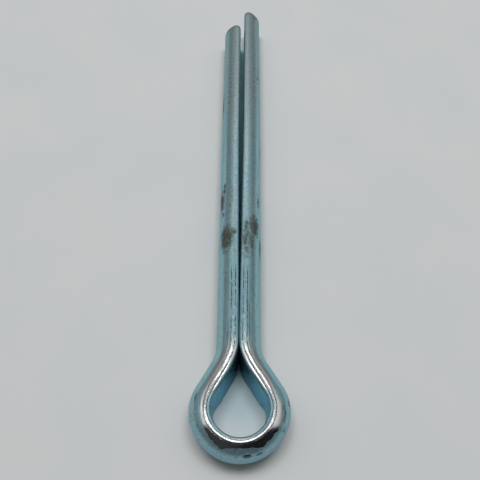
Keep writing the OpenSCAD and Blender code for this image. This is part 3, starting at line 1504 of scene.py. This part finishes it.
@dataclass(frozen=True)
class PaleFloor:
    """Plain pale ground, faintly mottled, with painted shade and painted teal bounce light where the
    wire throws its colour.

    Places and reaches are in metres.
    """

    light: Colour = (0.700, 0.716, 0.718, 1.0)
    dark: Colour = (0.675, 0.703, 0.710, 1.0)
    mottle: float = 60.0
    mottle_mix: Point = (0.35, 0.65)
    # Painted bounce light and painted shade on the ground inside the eye, darker and teal: colour,
    # middle and reach
    painted_cast_light: Colour = (0.54, 0.665, 0.70, 1.0)
    painted_cast_at: Spot = (0.0, -0.0312, 0.0)
    painted_cast_reach: Point = (0.0062, 0.0010)
    # Painted shade and painted teal bounce light on the ground between the legs: colours near
    # the eye and at the ends with the stretch between them, reach to each side, and where it begins
    # and ends
    painted_slot_shade: Colour = (0.22, 0.50, 0.53, 1.0)
    painted_slot_light: Colour = (0.56, 0.98, 0.98, 1.0)
    painted_slot_mix: Point = (-0.005, 0.034)
    painted_slot_reach: Point = (0.0014, 0.0007)
    painted_slot_low: Point = (-0.030, -0.026)
    painted_slot_high: Point = (0.037, 0.035)
    rough: float = 0.7
    half: float = 1.5

    def build(self) -> bpy.types.Object:
        """Lay the floor under the pin.

        Returns:
            The floor, marked as stage.
        """
        mesh = bpy.data.meshes.new("floor")
        h = self.half
        mesh.from_pydata([(-h, -h, 0), (h, -h, 0), (h, h, 0), (-h, h, 0)], [], [(0, 1, 2, 3)])
        mesh.materials.append(self.material())
        floor = bpy.data.objects.new("floor", mesh)
        bpy.context.scene.collection.objects.link(floor)
        return floor

    def material(self) -> bpy.types.Material:
        """Build the floor's finish.

        Returns:
            The material.
        """
        mat, nodes, shader = begun("pale_floor")
        shader.inputs["Roughness"].default_value = self.rough
        place = nodes.add("ShaderNodeTexCoord").outputs["Object"]
        share = nodes.ranged(nodes.noise(place, self.mottle, 3.0), self.mottle_mix)
        ground = nodes.mixed(share, self.light, self.dark)
        # Painted shade and bounce light inside the eye: the ground turns darker and teal towards a
        # point in the eye
        off = nodes.add("ShaderNodeVectorMath", operation="DISTANCE")
        nodes.link(place, off.inputs[0])
        off.inputs[1].default_value = self.painted_cast_at
        painted_cast_mask = nodes.ranged(off.outputs["Value"], self.painted_cast_reach)
        ground = nodes.mixed(painted_cast_mask, ground, self.painted_cast_light)
        axes = nodes.split(place)
        # Painted shade between the legs, turning to lighter painted teal light towards their ends
        between = nodes.ranged(nodes.size_of(axes["X"]), self.painted_slot_reach)
        for edge in (self.painted_slot_low, self.painted_slot_high):
            between = nodes.maths("MULTIPLY", between, nodes.ranged(axes["Y"], edge))
        painted_slot_shade = nodes.mixed(nodes.ranged(axes["Y"], self.painted_slot_mix), self.painted_slot_shade, self.painted_slot_light)
        nodes.link(nodes.mixed(between, ground, painted_slot_shade), shader.inputs["Base Color"])
        return mat


@dataclass(frozen=True)
class Lamp:
    """A round soft lamp that faces the pin.

    Attributes:
        name: Its name.
        back: Tilt from straight overhead towards +Y, in degrees.
        aside: Tilt towards +X, in degrees.
        size: Diameter in metres.
        power: Power in watts.
        mirrored: Whether only the metal's mirror sees it, or only dull surfaces do.
        away: Distance in metres.
    """

    name: str
    back: float
    aside: float
    size: float
    power: float
    mirrored: bool
    away: float = 0.60

    def hang(self) -> None:
        """Hang the lamp over the pin."""
        data = bpy.data.lights.new(self.name, "AREA")
        data.shape = "DISK"
        data.size = self.size
        data.energy = self.power
        lamp = bpy.data.objects.new(self.name, data)
        aside, back = math.tan(math.radians(self.aside)), math.tan(math.radians(self.back))
        up = Vector((aside, back, 1.0))
        lamp.location = up.normalized() * self.away
        lamp.rotation_mode = "QUATERNION"
        lamp.rotation_quaternion = up.to_track_quat("Z", "Y")
        lamp.visible_glossy = self.mirrored
        lamp.visible_diffuse = not self.mirrored
        bpy.context.scene.collection.objects.link(lamp)


@dataclass(frozen=True)
class Room:
    """The room round the pin: a dim dome, dark in front, with a lit strip on each side.

    Its places are parts of a direction of length 1: X aside, Y back and Z up. A pair holds
    the two places between which something sets in.
    """

    # Height over the horizon, and the glow of the room there
    levels: tuple[Point, ...] = (
        (0.0, 0.20), (0.17, 0.18), (0.42, 0.21), (0.64, 0.50), (0.80, 0.78), (0.88, 0.35),
        (0.95, 0.28), (0.98, 0.38), (1.0, 0.38),
    )
    # The dark front, which is the maker's own shade: its colour on the left and right, its
    # edge, how much that draws back aside, and its foot
    dark_left: Colour = (0.0364, 0.0392, 0.0420, 1.0)
    dark_right: Colour = (0.0112, 0.0119, 0.0133, 1.0)
    dark_mix: Point = (-0.30, 0.20)
    dark_edge: Point = (0.08, -0.04)
    dark_slant: float = 0.34
    dark_foot: Point = (-0.02, 0.08)
    # The lit strips: their glow on the left and right, and their edges
    lit_left: Colour = (1.05, 1.05, 1.05, 1.0)
    lit_right: Colour = (0.735, 0.735, 0.735, 1.0)
    lit_mix: Point = (-0.2, 0.2)
    lit_aside: tuple[Point, ...] = ((0.26, 0.42), (0.72, 0.58))
    lit_back: tuple[Point, ...] = ((0.0, 0.14), (0.40, 0.10))
    lit_foot: Point = (0.62, 0.76)

    def build(self) -> None:
        """Set the room's glow."""
        world = bpy.data.worlds.new("room")
        bpy.context.scene.world = world
        world.use_nodes = True
        nodes = Nodes(world.node_tree)
        out = nodes.add("ShaderNodeOutputWorld")
        glow = nodes.add("ShaderNodeBackground")
        nodes.link(glow.outputs["Background"], out.inputs["Surface"])
        axes = nodes.split(nodes.add("ShaderNodeTexCoord").outputs["Generated"])
        aside = nodes.size_of(axes["X"])
        colour = self.dome(nodes, axes["Z"])
        strip = nodes.ranged(axes["Z"], self.lit_foot)
        for place, edges in ((aside, self.lit_aside), (axes["Y"], self.lit_back)):
            for edge in edges:
                strip = nodes.maths("MULTIPLY", strip, nodes.ranged(place, edge))
        lit = nodes.mixed(nodes.ranged(axes["X"], self.lit_mix), self.lit_left, self.lit_right)
        colour = nodes.mixed(strip, colour, lit)
        slanted = nodes.maths("ADD", axes["Y"], nodes.maths("MULTIPLY", aside, self.dark_slant))
        front = nodes.ranged(slanted, self.dark_edge)
        front = nodes.maths("MULTIPLY", front, nodes.ranged(axes["Z"], self.dark_foot))
        dark = nodes.mixed(nodes.ranged(axes["X"], self.dark_mix), self.dark_left, self.dark_right)
        nodes.link(nodes.mixed(front, colour, dark), glow.inputs["Color"])

    def dome(self, nodes: Nodes, height: Socket) -> Socket:
        """Shade the dome by height over the horizon.

        Args:
            nodes: Nodes of the room.
            height: The height.

        Returns:
            The dome's colour.
        """
        ramp = nodes.add("ShaderNodeValToRGB")
        nodes.link(height, ramp.inputs["Fac"])
        elements = ramp.color_ramp.elements
        while len(elements) < len(self.levels):
            elements.new(0.5)
        for element, (at, level) in zip(elements, self.levels):
            element.position = at
            element.color = (level, level, level, 1.0)
        return ramp.outputs["Color"]


@dataclass(frozen=True)
class Studio:
    """Soft overhead light, a dim room and the camera."""

    # Soft boxes for the ground and the shadow, and small lamps for the crest's bright lines
    lamps: tuple[Lamp, ...] = (
        Lamp("soft_box_left", 11.0, -11.0, 0.19, 0.90, False),
        Lamp("soft_box_right", 11.0, 11.0, 0.19, 0.90, False),
        Lamp("soft_box_middle", 15.0, 0.0, 0.16, 0.15, False),
        Lamp("glint", 13.0, 2.0, 0.10, 0.078, True),
        Lamp("glint_left", -0.5, -18.0, 0.08, 0.052, True),
        Lamp("glint_right", -0.5, 18.0, 0.08, 0.052, True),
    )
    # The camera: lens and sensor in millimetres, place, and angles in radians
    lens: float = 37.39
    sensor: float = 36.0
    eye: Spot = (-0.46136, -46.18996, 67.56444)
    yaw: float = 0.0068
    pitch: float = 1.0529
    roll: float = 0.0194
    # Nearest and farthest distance that it sees, in metres
    near: float = 0.005
    far: float = 10.0

    def light(self) -> None:
        """Hang the lamps and set the room's glow."""
        for lamp in self.lamps:
            lamp.hang()
        Room().build()

    def camera(self) -> None:
        """Stand the camera over the eye, looking along the legs."""
        (yaw_c, yaw_s), (pitch_c, pitch_s) = toward(self.yaw), toward(self.pitch)
        roll_c, roll_s = toward(self.roll)
        ahead = Vector((yaw_s * pitch_c, yaw_c * pitch_c, -pitch_s))
        level = Vector((yaw_c, -yaw_s, 0.0))
        up = level.cross(ahead)
        right = roll_c * level + roll_s * up
        top = -roll_s * level + roll_c * up
        data = bpy.data.cameras.new("camera")
        data.lens = self.lens
        data.sensor_width = self.sensor
        data.clip_start = self.near
        data.clip_end = self.far
        camera = bpy.data.objects.new("camera", data)
        turn = Matrix((right, top, -ahead)).transposed().to_4x4()
        camera.matrix_world = Matrix.Translation(Vector(self.eye) * MM) @ turn
        bpy.context.scene.collection.objects.link(camera)
        bpy.context.scene.camera = camera


def main() -> None:
    """Build the pin, its floor, its light and its camera."""
    logging.basicConfig(level=logging.INFO, format="%(name)s: %(message)s")
    bpy.context.scene.view_settings.view_transform = "Standard"
    studio = Studio()
    studio.camera()
    studio.light()
    PaleFloor().build()
    LOG.info("floor, light and camera are set")
    pin = PinSkin().build()
    pin.data.materials.append(ZincPlate().material())
    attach(pin, BODY)
    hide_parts(NODE)
    LOG.info("%s: %d points, %d faces", pin.name, len(pin.data.vertices), len(pin.data.polygons))


if __name__ == "__main__":
    main()
